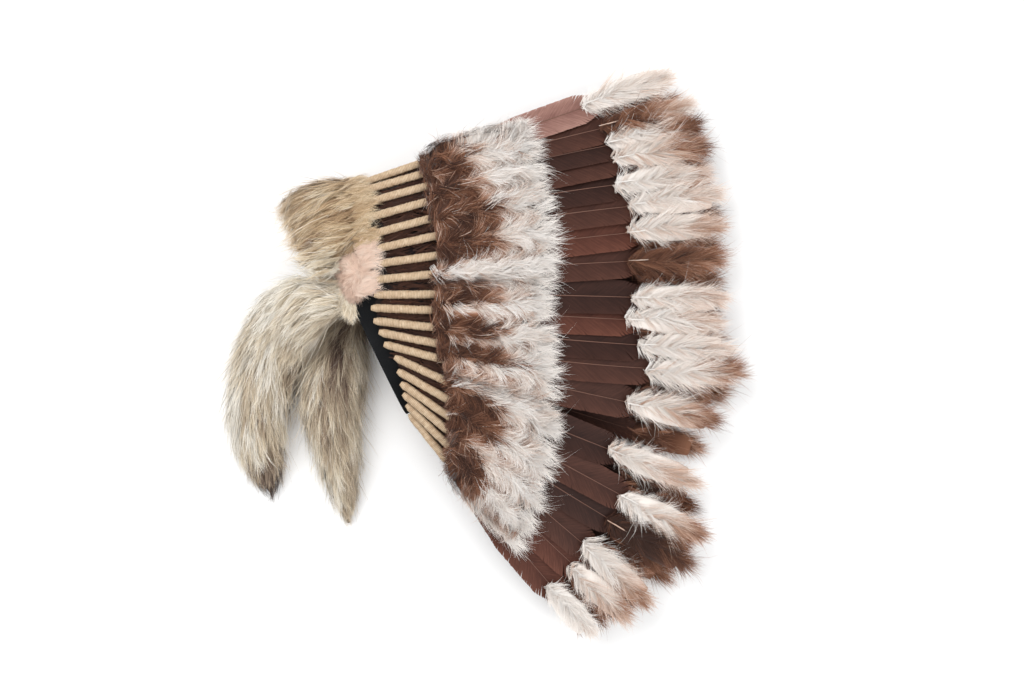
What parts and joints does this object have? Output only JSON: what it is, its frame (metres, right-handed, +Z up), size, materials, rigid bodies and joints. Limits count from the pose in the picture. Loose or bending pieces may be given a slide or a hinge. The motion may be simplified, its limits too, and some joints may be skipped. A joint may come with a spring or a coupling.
{
  "type": "feathered headdress",
  "caption": "Folded feathered headdress laid on its side: felt cap, wrapped quills, long vanes, down, brow fur and a fur tail at each temple.",
  "frame": {"origin": "middle of the headdress's base, on the surface that it lies on", "axes": "+Z up from the surface, +X the way that the feathers point, +Y towards the brow end of the fan"},
  "size_m": [0.5789, 0.6387, 0.129],
  "materials": {
    "felt": "black wool felt, matt",
    "vane": "dark brown feather vane, soft sheen along the barbs",
    "twine": "cream-beige thread wound round the quill, matt",
    "brown_down": "brown and white down, matt",
    "white_down": "off-white down over rust brown, matt",
    "tan_fur": "tan and grey long fur with dark ridges",
    "pink_fur": "short pinkish cream pile",
    "grey_fur": "cream and grey-brown tail fur with a dark tip"
  },
  "bodies": {
    "root": {"felt_cap": "felt", "brow_fur": "tan_fur", "under_feathers_top": "vane", "under_feathers_under": "vane", "temple_patch_top": "pink_fur", "temple_patch_under": "pink_fur", "fur_tail_top": "grey_fur", "fur_tail_under": "grey_fur", "feather_top_01": "vane", "feather_top_02": "vane", "feather_top_03": "vane", "feather_top_04": "vane", "feather_top_05": "vane", "feather_top_06": "vane", "feather_top_07": "vane", "feather_top_08": "vane", "feather_top_09": "vane", "feather_top_10": "vane", "feather_top_11": "vane", "feather_top_12": "vane", "feather_top_13": "vane", "feather_top_14": "vane", "feather_top_15": "vane", "feather_top_16": "vane", "feather_top_17": "vane", "feather_top_18": "vane", "feather_top_19": "vane", "feather_under_01": "vane", "feather_under_02": "vane", "feather_under_03": "vane", "feather_under_04": "vane", "feather_under_05": "vane", "feather_under_06": "vane", "feather_under_07": "vane", "feather_under_08": "vane", "feather_under_09": "vane", "feather_under_10": "vane", "feather_under_11": "vane", "feather_under_12": "vane", "feather_under_13": "vane", "feather_under_14": "vane", "feather_under_15": "vane", "feather_under_16": "vane", "feather_under_17": "vane", "feather_under_18": "vane", "foot_down_top_01": "brown_down", "foot_down_top_02": "brown_down", "foot_down_top_03": "brown_down", "foot_down_under_01": "brown_down", "foot_down_under_02": "brown_down", "foot_down_under_03": "brown_down", "tip_plumes_top_01": "white_down", "tip_plumes_top_02": "white_down", "tip_plumes_top_03": "white_down", "tip_plumes_top_04": "white_down", "tip_plumes_top_05": "white_down", "tip_plumes_under_01": "white_down", "tip_plumes_under_02": "white_down", "tip_plumes_under_03": "white_down"}
  },
  "joints": []
}
